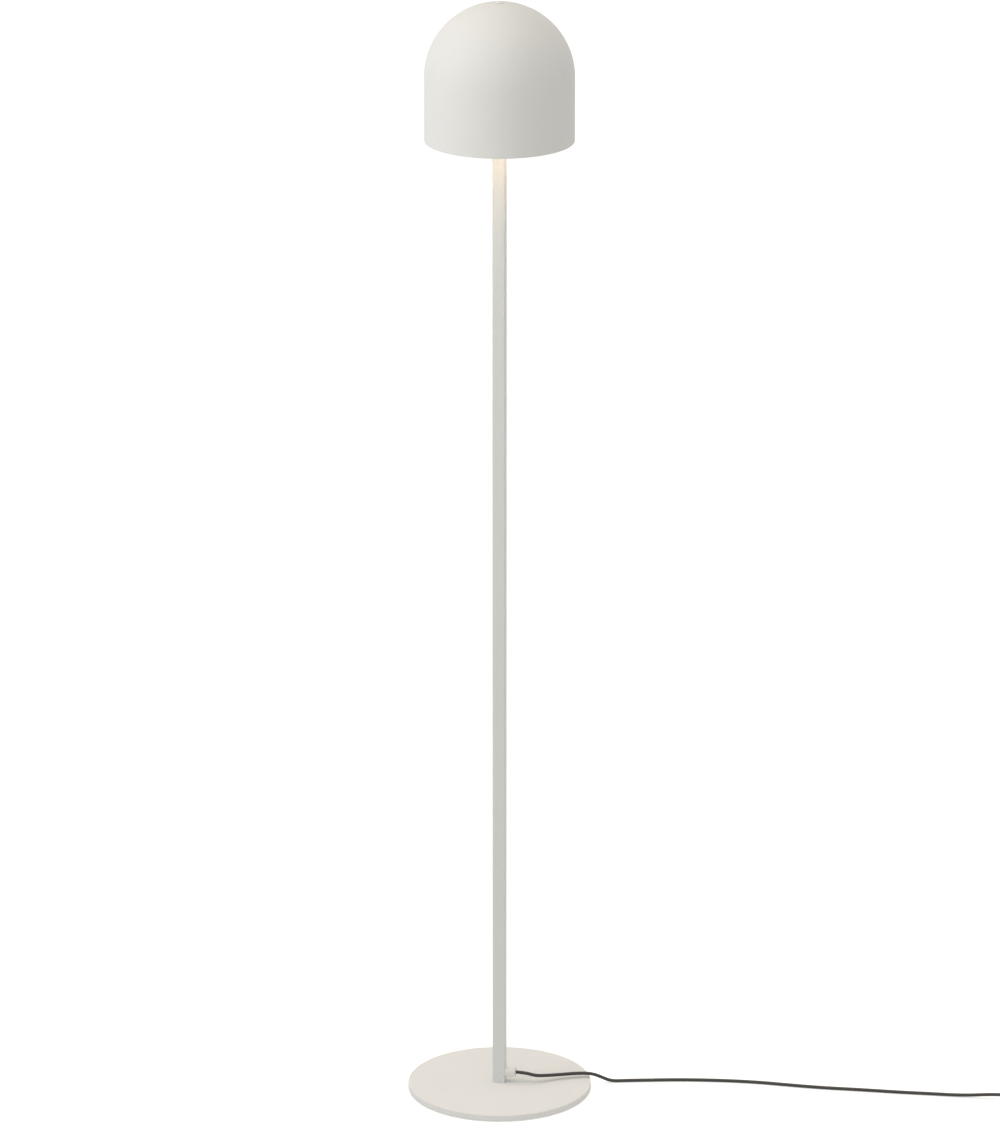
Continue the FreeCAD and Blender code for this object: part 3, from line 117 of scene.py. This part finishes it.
# Finishes that several materials share, and then every material slot of the record. Colours are
# linear. blotch and grain are noise scales per metre: one for slow changes of tone, one for the
# finish. relief is in metres.
PAINT = {
    "vary": 0.012, "blotch": 5.0, "grain": 420.0, "relief": 0.00003, "rough_vary": 0.04,
    "Specular_IOR_Level": 0.25,
}
MOULDED = {"vary": 0.05, "blotch": 40.0, "grain": 2600.0, "relief": 0.00002}
PLATED = {"metallic": 1.0, "vary": 0.06, "blotch": 60.0, "grain": 1500.0, "relief": 0.00001}
WHITE = (0.843, 0.843, 0.83)
FINISHES = {
    # painted light: the base's white is lighter than the shade's, and that extra lightness stands in
    # partly for the light falling on the base's top
    "base_paint": dict(PAINT, colour=(0.89, 0.885, 0.88), roughness=0.62),
    # painted shade: the stem's white is darker than the shade's, and that darkness stands in partly
    # for the dimmer light at the stem's height
    "stem_paint": dict(PAINT, colour=(0.817, 0.828, 0.82), roughness=0.62),
    "shade_paint": dict(PAINT, colour=WHITE, roughness=0.62),
    "cap_paint": dict(PAINT, colour=WHITE, roughness=0.5),
    "pad_felt": dict(
        colour=(0.5, 0.5, 0.49), roughness=0.95, rough_vary=0.03, vary=0.2, blotch=500, grain=3500,
        relief=0.0002, Sheen_Weight=0.3,
    ),
    "grip_nylon": dict(
        colour=(0.88, 0.86, 0.83), roughness=0.36, vary=0.015, blotch=60, grain=1800,
        Subsurface_Weight=0.1, Subsurface_Scale=0.002,
    ),
    "zinc": dict(PLATED, colour=(0.6, 0.61, 0.63), tint=(0.55, 0.57, 0.62), roughness=0.34),
    "strap_zinc": dict(
        colour=(0.62, 0.63, 0.64), roughness=0.36, metallic=1.0, vary=0.07, blotch=30, grain=1200,
        stretch=(0.15, 1, 0.15), relief=0.00002,
    ),
    "black_rubber": dict(colour=(0.035, 0.035, 0.036), roughness=0.75, vary=0.15, blotch=200),
    "holder_plastic": dict(MOULDED, colour=(0.84, 0.84, 0.82), roughness=0.34),
    "porcelain": dict(
        colour=(0.87, 0.86, 0.82), roughness=0.38, vary=0.03, blotch=120, grain=1500,
        Coat_Weight=0.25, Coat_Roughness=0.2,
    ),
    "contact_brass": dict(PLATED, colour=(0.76, 0.58, 0.27), tint=(0.66, 0.47, 0.2), roughness=0.28),
    "pin_brass": dict(PLATED, colour=(0.74, 0.72, 0.67), roughness=0.22),
    "bulb_housing": dict(MOULDED, colour=(0.88, 0.88, 0.86), roughness=0.34),
    "cap_metal": dict(PLATED, colour=(0.72, 0.72, 0.71), roughness=0.25),
    "tip_solder": dict(
        colour=(0.58, 0.58, 0.56), roughness=0.36, metallic=1.0, vary=0.1, blotch=400, grain=900,
        relief=0.0002,
    ),
    "black_insulator": dict(MOULDED, colour=(0.03, 0.03, 0.033), roughness=0.22),
    "board_metal": dict(colour=(0.86, 0.86, 0.85), roughness=0.4, vary=0.02, blotch=90),
    "chip_resin": dict(colour=(0.95, 0.78, 0.3), roughness=0.3, vary=0.05, blotch=700),
    "board_green": dict(colour=(0.05, 0.26, 0.12), roughness=0.35, vary=0.12, blotch=300, grain=2500),
    "cord_sheath": dict(
        colour=(0.024, 0.0225, 0.0215), roughness=0.4, rough_vary=0.05, vary=0.12, blotch=60,
        grain=1600, relief=0.00003, Coat_Weight=0.15, Coat_Roughness=0.35,
    ),
    "brown_core": dict(colour=(0.2, 0.09, 0.04), roughness=0.38, vary=0.08, blotch=200),
    "blue_core": dict(colour=(0.03, 0.14, 0.48), roughness=0.38, vary=0.08, blotch=200),
    "switch_shell": dict(
        colour=(0.05, 0.052, 0.056), roughness=0.5, vary=0.08, blotch=50, grain=2200, relief=0.00006,
    ),
    "switch_key": dict(colour=(0.055, 0.057, 0.06), roughness=0.3, vary=0.06, blotch=80, grain=2600),
    "sleeve_pvc": dict(colour=(0.042, 0.044, 0.047), roughness=0.5, vary=0.1, blotch=90, grain=1500),
    "module_black": dict(MOULDED, colour=(0.06, 0.06, 0.062), roughness=0.3),
    "white_nylon": dict(MOULDED, colour=(0.82, 0.82, 0.78), roughness=0.4),
    "plug_pvc": dict(
        colour=(0.045, 0.047, 0.05), roughness=0.44, vary=0.08, blotch=60, grain=1800, relief=0.00005,
    ),
    "pin_insulation": dict(colour=(0.04, 0.04, 0.042), roughness=0.4, vary=0.08, blotch=200),
    "globe_opal": dict(
        colour=(0.95, 0.92, 0.86), roughness=0.3, vary=0.01, blotch=40, grain=700, relief=0.00001,
    ),
}
TONE_LOW, TONE_HIGH = 0.3, 0.7  # the part of a noise's range that the tone and gloss use

# The bulb's glow, and the heights on the globe between which it rises to its full strength.
GLOW_COLOUR = (1.0, 0.75, 0.5, 1)
GLOW_LEAST, GLOW_MOST = 16.5, 30.0
GLOW_FOOT, GLOW_FULL = 1.382, 1.4

# The pieces made here in place of CAD nodes, in metres.
AROUND = 96
THREAD_PITCH, THREAD_DEPTH, SHEET_WALL = 0.003629, 0.00041, 0.0003
GLOBE_RADIUS, GLOBE_WALL, GLOBE_ROWS = 0.03, 0.0012, 48
SPRING_WIRE_RADIUS, SPRING_TURNS = 0.0004, 6
CLOSED_PITCH = 2.1 * SPRING_WIRE_RADIUS
SPRING_STEPS, SPRING_AROUND = 40, 14

FLOOR_HALF, FLOOR_DROP, FLOOR_LIFT = 20.0, 0.0002, 0.5


# ---------------------------------------------------------------- helpers


def link_to_scene(piece):
    bpy.context.scene.collection.objects.link(piece)
    return piece


def add_node(tree, kind, **values):
    """A shader node with its properties, and its inputs given by name with _ for a space."""
    node = tree.nodes.new(kind)
    for name, value in values.items():
        if name[0].isupper():
            node.inputs[name.replace("_", " ")].default_value = value
        else:
            setattr(node, name, value)
    return node


def add_mesh_piece(name, shape, body, node, edge_angle=None):
    """A smooth mesh that rides on body and stands for a CAD node, whose finish it takes.

    shape is its vertices and faces. Edges bent by more than edge_angle degrees stay sharp.
    """
    vertices, faces = shape
    mesh = bpy.data.meshes.new(name)
    mesh.from_pydata(vertices, [], faces)
    mesh.shade_smooth()
    if edge_angle:
        mesh.set_sharp_from_angle(angle=math.radians(edge_angle))
    mesh.materials.append(materials[slots[node]])
    piece = link_to_scene(bpy.data.objects.new(name, mesh))
    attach(piece, body)
    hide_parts(node)
    return piece


# ---------------------------------------------------------------- camera


def add_camera():
    data = bpy.data.cameras.new("camera")
    data.lens = LENS
    data.sensor_width = SENSOR_WIDTH
    data.clip_end = FARTHEST
    camera = link_to_scene(bpy.data.objects.new("camera", data))
    camera.location = FORWARD * DISTANCE + RIGHTWARD * ASIDE + Vector((0, 0, HEIGHT))
    ahead = FORWARD * -math.cos(PITCH) + Vector((0, 0, -math.sin(PITCH)))
    camera.rotation_euler = ahead.to_track_quat("-Z", "Y").to_euler()
    bpy.context.scene.camera = camera


# ---------------------------------------------------------------- cords


def cord_curve(name, points):
    """A smooth tube with the route's points as its control points."""
    data = bpy.data.curves.new(name, "CURVE")
    data.dimensions = "3D"
    data.bevel_depth = CORD_DIAMETER / 2
    data.bevel_resolution = 5
    data.resolution_u = 8
    data.use_fill_caps = True
    spline = data.splines.new("NURBS")
    spline.points.add(len(points) - 1)
    for target, place in zip(spline.points, points):
        target.co = (*place, 1)
    spline.order_u = 3
    spline.use_endpoint_u = True
    return link_to_scene(bpy.data.objects.new(name, data))


def coil_points():
    """In three turns on the floor, up a layer in half a turn, and out again in three."""
    lean = math.atan2(COIL_PITCH, 2 * math.pi * COIL_RADIUS)
    turns = COIL_TURNS + lean / math.pi
    centre_y = SWITCH_LINE_Y - COIL_RADIUS * math.cos(lean)
    outside = 1 / math.cos(math.pi / COIL_POINTS_PER_TURN)
    count = math.ceil(turns * COIL_POINTS_PER_TURN)
    points = []
    for index in range(count + 1):
        at = turns * index / count
        angle = math.pi / 2 + lean - 2 * math.pi * at
        radius = outside * (COIL_RADIUS - COIL_PITCH * min(at, turns - at))
        climbed = min(max((at - turns / 2) / 0.5 + 0.5, 0), 1)
        height = FLOOR_LINE + COIL_PITCH * (1 - math.cos(math.pi * climbed)) / 2
        points.append((COIL_X + radius * math.cos(angle), centre_y + radius * math.sin(angle), height))
    return points


def add_cord(name, points, replaced, **facts):
    """One length of the cord, in place of its CAD solids."""
    slot = slots[replaced[0]]
    piece = cord_curve(name, points)
    piece.data.materials.append(materials[slot])
    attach(piece, "lamp")
    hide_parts(*replaced)


def add_cords(spring):
    add_cord(
        "cord_lamp_to_switch", FROM_LAMP, ["cord_to_switch"],
        length=LENGTH_TO_SWITCH, far_end="fitting", lay="loose",
        with_pieces=[nodes[name] for name in SWITCH_PIECES] + [spring],
    )
    add_cord(
        "cord_switch_to_plug", FROM_SWITCH + coil_points() + TO_PLUG,
        ["cord_from_switch", "cord_coil", "cord_to_plug"],
        length=LENGTH_TO_PLUG, far_end="plug", lay="coiled",
        with_pieces=[nodes[name] for name in PLUG_PIECES],
    )


# ---------------------------------------------------------------- materials


def shade_of(colour, factor):
    return (*[min(channel * factor, 1) for channel in colour], 1)


def colour_sockets(sockets):
    """A Mix node's colour sockets: it also has sockets of the same names for numbers."""
    return [socket for socket in sockets if socket.type == "RGBA"]


def surface(name, colour, roughness, metallic=0.0, vary=0.03, blotch=9.0, grain=900.0,
            relief=0.00002, rough_vary=0.06, stretch=(1, 1, 1), tint=None, **uniform):
    """A surface whose colour, roughness and relief vary over it."""
    material = bpy.data.materials.new(name)
    material.use_nodes = True
    tree = material.node_tree
    link = tree.links.new
    shader = tree.nodes["Principled BSDF"]
    shader.inputs["Metallic"].default_value = metallic
    for socket, value in uniform.items():
        shader.inputs[socket.replace("_", " ")].default_value = value

    place = add_node(tree, "ShaderNodeTexCoord")
    mapping = add_node(tree, "ShaderNodeMapping", Scale=stretch)
    broad = add_node(tree, "ShaderNodeTexNoise", Scale=blotch, Detail=4.0, Roughness=0.6)
    fine = add_node(tree, "ShaderNodeTexNoise", Scale=grain, Detail=2.0, Roughness=0.55)
    link(place.outputs["Object"], mapping.inputs["Vector"])
    link(mapping.outputs["Vector"], broad.inputs["Vector"])
    link(mapping.outputs["Vector"], fine.inputs["Vector"])

    tone = add_node(tree, "ShaderNodeMapRange", From_Min=TONE_LOW, From_Max=TONE_HIGH)
    paint = add_node(tree, "ShaderNodeMix", data_type="RGBA")
    darker, lighter = colour_sockets(paint.inputs)
    darker.default_value = shade_of(tint or colour, 1 - vary)
    lighter.default_value = shade_of(colour, 1 + vary)
    link(broad.outputs["Fac"], tone.inputs["Value"])
    link(tone.outputs["Result"], paint.inputs["Factor"])
    link(colour_sockets(paint.outputs)[0], shader.inputs["Base Color"])

    total = add_node(tree, "ShaderNodeMath", operation="ADD")
    mean = add_node(tree, "ShaderNodeMath", operation="MULTIPLY")
    mean.inputs[1].default_value = 0.5
    gloss = add_node(tree, "ShaderNodeMapRange", From_Min=TONE_LOW, From_Max=TONE_HIGH,
                     To_Min=roughness - rough_vary, To_Max=roughness + rough_vary)
    link(broad.outputs["Fac"], total.inputs[0])
    link(fine.outputs["Fac"], total.inputs[1])
    link(total.outputs[0], mean.inputs[0])
    link(mean.outputs[0], gloss.inputs["Value"])
    link(gloss.outputs["Result"], shader.inputs["Roughness"])

    bump = add_node(tree, "ShaderNodeBump", Strength=1.0, Distance=relief)
    link(fine.outputs["Fac"], bump.inputs["Height"])
    link(bump.outputs["Normal"], shader.inputs["Normal"])
    return material


def light_up(material):
    """Makes the globe glow, a little less towards its foot, where the boards shade it."""
    tree = material.node_tree
    shader = tree.nodes["Principled BSDF"]
    place = add_node(tree, "ShaderNodeTexCoord")
    axes = add_node(tree, "ShaderNodeSeparateXYZ")
    glow = add_node(tree, "ShaderNodeMapRange", From_Min=GLOW_FOOT, From_Max=GLOW_FULL,
                    To_Min=GLOW_LEAST, To_Max=GLOW_MOST)
    tree.links.new(place.outputs["Object"], axes.inputs[0])
    tree.links.new(axes.outputs["Z"], glow.inputs["Value"])
    tree.links.new(glow.outputs["Result"], shader.inputs["Emission Strength"])
    shader.inputs["Emission Color"].default_value = GLOW_COLOUR


def apply_materials():
    for name, node in nodes.items():
        for slot in node.material_slots:
            slot.material = materials[slots[name]]


# ---------------------------------------------------------------- threads


def eased(value, low, high):
    """0 up to low and 1 from high on, with a smooth rise between them."""
    share = min(max((value - low) / (high - low), 0), 1)
    return share * share * (3 - 2 * share)


def spread(low, high, count):
    return [low + step * (high - low) / (count - 1) for step in range(count)]


def sheet_sleeve(stations):
    """A sheet-metal sleeve. stations are (height, middle radius, depth of the rolled thread)."""
    vertices, faces = [], []
    for shift in (0, -SHEET_WALL):
        for height, radius, depth in stations:
            for index in range(AROUND):
                angle = 2 * math.pi * index / AROUND
                wave = math.cos(2 * math.pi * height / THREAD_PITCH - angle)
                here = radius + shift + depth * wave
                vertices.append((here * math.cos(angle), here * math.sin(angle), height))
    inner = len(stations) * AROUND
    last = inner - AROUND
    for index in range(AROUND):
        after = (index + 1) % AROUND
        for row in range(0, last, AROUND):
            low, high = row + index, row + after
            faces.append((low, high, high + AROUND, low + AROUND))
            faces.append((inner + low, inner + low + AROUND, inner + high + AROUND, inner + high))
        faces.append((index, inner + index, inner + after, after))
        faces.append((last + index, last + after, inner + last + after, inner + last + index))
    return vertices, faces


def cap_stations():
    """The bulb's threaded cap, from where it grips the insulator up to its plain rim."""
    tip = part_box("bulb_tip")[0].z
    stations = [(tip + 0.0058, 0.01165, 0), (tip + 0.0066, 0.0121, 0)]
    for height in spread(tip + 0.0072, tip + 0.0237, 60):
        rise = height - tip
        widening = eased(rise, 0.0205, 0.0228)
        depth = THREAD_DEPTH * eased(rise, 0.0076, 0.0095) * (1 - widening)
        stations.append((height, 0.01274 + 0.0003 * widening, depth))
    return stations + [(tip + 0.0245, 0.0131, 0), (tip + 0.0255, 0.0131, 0)]


def sleeve_stations():
    """The lampholder's thread sleeve, which is plain at its foot and at its mouth."""
    foot, mouth = (corner.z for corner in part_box("thread_sleeve"))
    stations = []
    for height in spread(foot, mouth, 84):
        shaped = eased(height, foot + 0.0055, foot + 0.0075)
        shaped *= 1 - eased(height, mouth - 0.0028, mouth - 0.001)
        stations.append((height, 0.01389 - 0.00045 * shaped, THREAD_DEPTH * shaped))
    return stations


def add_threads():
    """The bulb's rolled thread and the lampholder's, which mesh along the same helix."""
    cap, sleeve = sheet_sleeve(cap_stations()), sheet_sleeve(sleeve_stations())
    add_mesh_piece("bulb_cap_thread", cap, "bulb", "bulb_cap", edge_angle=50)
    add_mesh_piece("holder_thread", sleeve, "lamp", "thread_sleeve", edge_angle=50)


# ---------------------------------------------------------------- the bulb's globe


def add_globe():
    """The bulb's opal globe, a round shell of even thickness that is open at its foot."""
    low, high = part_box("bulb_globe")
    centre = high.z - GLOBE_RADIUS
    vertices, faces = [], []
    for size in (GLOBE_RADIUS, GLOBE_RADIUS - GLOBE_WALL):
        widest = math.acos((low.z - centre) / size)
        for row in range(GLOBE_ROWS):
            polar = widest * (GLOBE_ROWS - row) / GLOBE_ROWS
            out, up = size * math.sin(polar), centre + size * math.cos(polar)
            for index in range(AROUND):
                angle = 2 * math.pi * index / AROUND
                vertices.append((out * math.cos(angle), out * math.sin(angle), up))
        vertices.append((0, 0, centre + size))
    inner = GLOBE_ROWS * AROUND + 1
    top = inner - 1
    last = top - AROUND
    for index in range(AROUND):
        after = (index + 1) % AROUND
        for row in range(0, last, AROUND):
            left, right = row + index, row + after
            faces.append((left, right, right + AROUND, left + AROUND))
            faces.append((inner + left, inner + left + AROUND, inner + right + AROUND, inner + right))
        faces.append((last + index, last + after, top))
        faces.append((inner + last + index, inner + top, inner + last + after))
        faces.append((index, inner + index, inner + after, after))
    add_mesh_piece("bulb_opal_globe", (vertices, faces), "bulb", "bulb_globe", edge_angle=50)


# ---------------------------------------------------------------- the push button's spring


def spring_height(at, rise):
    """Close-wound for the first and the last turn, and evenly open between them."""
    if at < 1:
        return CLOSED_PITCH * at
    if at > SPRING_TURNS - 1:
        return rise - CLOSED_PITCH * (SPRING_TURNS - at)
    return CLOSED_PITCH + (rise - 2 * CLOSED_PITCH) * (at - 1) / (SPRING_TURNS - 2)


def add_spring():
    """A wire spring with a closed turn at each end."""
    low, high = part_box("switch_spring")
    free = high.z - low.z
    rise = free - 2 * SPRING_WIRE_RADIUS
    centre_x, centre_y = (low.x + high.x) / 2, (low.y + high.y) / 2
    foot = Vector((centre_x, centre_y, low.z))
    mean = (high.y - low.y) / 2 - SPRING_WIRE_RADIUS
    nudge = 0.01
    vertices, faces = [], []
    for step in range(SPRING_TURNS * SPRING_STEPS + 1):
        at = step / SPRING_STEPS
        angle = 2 * math.pi * at
        outward = Vector((math.cos(angle), math.sin(angle), 0))
        onward = Vector((-math.sin(angle), math.cos(angle), 0))
        above = spring_height(min(at + nudge, SPRING_TURNS), rise)
        below = spring_height(max(at - nudge, 0), rise)
        along = 2 * math.pi * mean * onward + Vector((0, 0, (above - below) / (2 * nudge)))
        across = along.normalized().cross(outward)
        height = SPRING_WIRE_RADIUS + spring_height(at, rise)
        middle = foot + mean * outward + Vector((0, 0, height))
        for index in range(SPRING_AROUND):
            spoke = 2 * math.pi * index / SPRING_AROUND
            offset = math.cos(spoke) * outward + math.sin(spoke) * across
            vertices.append(middle + SPRING_WIRE_RADIUS * offset)
    last = SPRING_TURNS * SPRING_STEPS * SPRING_AROUND
    for ring in range(0, last, SPRING_AROUND):
        for index in range(SPRING_AROUND):
            left, right = ring + index, ring + (index + 1) % SPRING_AROUND
            faces.append((left, left + SPRING_AROUND, right + SPRING_AROUND, right))
    faces.append(tuple(range(SPRING_AROUND)))
    faces.append(tuple(last + index for index in reversed(range(SPRING_AROUND))))
    piece = add_mesh_piece("switch_coil_spring", (vertices, faces), "lamp", "switch_spring")
    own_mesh(piece)
    return piece


# ---------------------------------------------------------------- stage and light


def camera_share(tree):
    """1 for what the camera sees directly, in a mirror or through glass."""
    path = add_node(tree, "ShaderNodeLightPath")
    first = add_node(tree, "ShaderNodeMath", operation="MAXIMUM")
    second = add_node(tree, "ShaderNodeMath", operation="MAXIMUM")
    tree.links.new(path.outputs["Is Camera Ray"], first.inputs[0])
    tree.links.new(path.outputs["Is Glossy Ray"], first.inputs[1])
    tree.links.new(first.outputs[0], second.inputs[0])
    tree.links.new(path.outputs["Is Transmission Ray"], second.inputs[1])
    return second.outputs[0]


def add_floor():
    """A pale floor that keeps the lamp's shadow and looks white around it."""
    mesh = bpy.data.meshes.new("floor")
    half = FLOOR_HALF
    corners = [(-half, -half, 0), (half, -half, 0), (half, half, 0), (-half, half, 0)]
    mesh.from_pydata(corners, [], [(0, 1, 2, 3)])
    floor = link_to_scene(bpy.data.objects.new("floor", mesh))
    floor.location.z = -FLOOR_DROP
    material = bpy.data.materials.new("floor_white")
    material.use_nodes = True
    tree = material.node_tree
    tree.nodes.clear()
    diffuse = add_node(tree, "ShaderNodeBsdfDiffuse", Color=(0.9, 0.9, 0.9, 1))
    lift = add_node(tree, "ShaderNodeEmission")
    strength = add_node(tree, "ShaderNodeMath", operation="MULTIPLY")
    strength.inputs[1].default_value = FLOOR_LIFT
    total = add_node(tree, "ShaderNodeAddShader")
    output = add_node(tree, "ShaderNodeOutputMaterial")
    tree.links.new(camera_share(tree), strength.inputs[0])
    tree.links.new(strength.outputs[0], lift.inputs["Strength"])
    tree.links.new(diffuse.outputs[0], total.inputs[0])
    tree.links.new(lift.outputs[0], total.inputs[1])
    tree.links.new(total.outputs[0], output.inputs["Surface"])
    mesh.materials.append(material)


def add_world(ambient, colour):
    """White as the camera sees it, and a dimmer, slightly cool light on the lamp."""
    world = bpy.data.worlds.new("studio")
    bpy.context.scene.world = world
    world.use_nodes = True
    tree = world.node_tree
    tree.nodes.clear()
    light = add_node(tree, "ShaderNodeBackground", Color=(*colour, 1), Strength=ambient)
    seen = add_node(tree, "ShaderNodeBackground", Color=(1, 1, 1, 1))
    either = add_node(tree, "ShaderNodeMixShader")
    output = add_node(tree, "ShaderNodeOutputWorld")
    tree.links.new(camera_share(tree), either.inputs[0])
    tree.links.new(light.outputs[0], either.inputs[1])
    tree.links.new(seen.outputs[0], either.inputs[2])
    tree.links.new(either.outputs[0], output.inputs["Surface"])


def add_soft_box(name, right, front, height, aim, size, power):
    """A round soft box, placed to the right of the lamp and in front of it as the camera sees it."""
    data = bpy.data.lights.new(name, "AREA")
    data.shape = "DISK"
    data.size = size
    data.energy = power
    box = link_to_scene(bpy.data.objects.new(name, data))
    box.location = RIGHTWARD * right + FORWARD * front + Vector((0, 0, height))
    towards = Vector((0, 0, aim)) - box.location
    box.rotation_euler = towards.to_track_quat("-Z", "Y").to_euler()


def add_overhead(strength, softness, colour):
    """A warm, soft light from straight above. softness is its width in degrees."""
    data = bpy.data.lights.new("overhead", "SUN")
    data.energy = strength
    data.angle = math.radians(softness)
    data.color = colour
    link_to_scene(bpy.data.objects.new("overhead", data))


# ---------------------------------------------------------------- the scene


add_camera()
materials = {name: surface(name, **finish) for name, finish in FINISHES.items()}
light_up(materials["globe_opal"])
add_cords(add_spring())
apply_materials()
add_threads()
add_globe()
add_floor()
add_world(ambient=0.46, colour=(0.92, 0.985, 1.0))
add_soft_box("side", right=-1.3, front=0.5, height=1.75, aim=1.35, size=0.9, power=5.8)
add_soft_box("front", right=-0.7, front=1.1, height=2.0, aim=1.3, size=0.8, power=1.8)
add_overhead(strength=1.02, softness=70, colour=(1.0, 0.8, 0.6))
bpy.context.scene.view_settings.view_transform = "Standard"
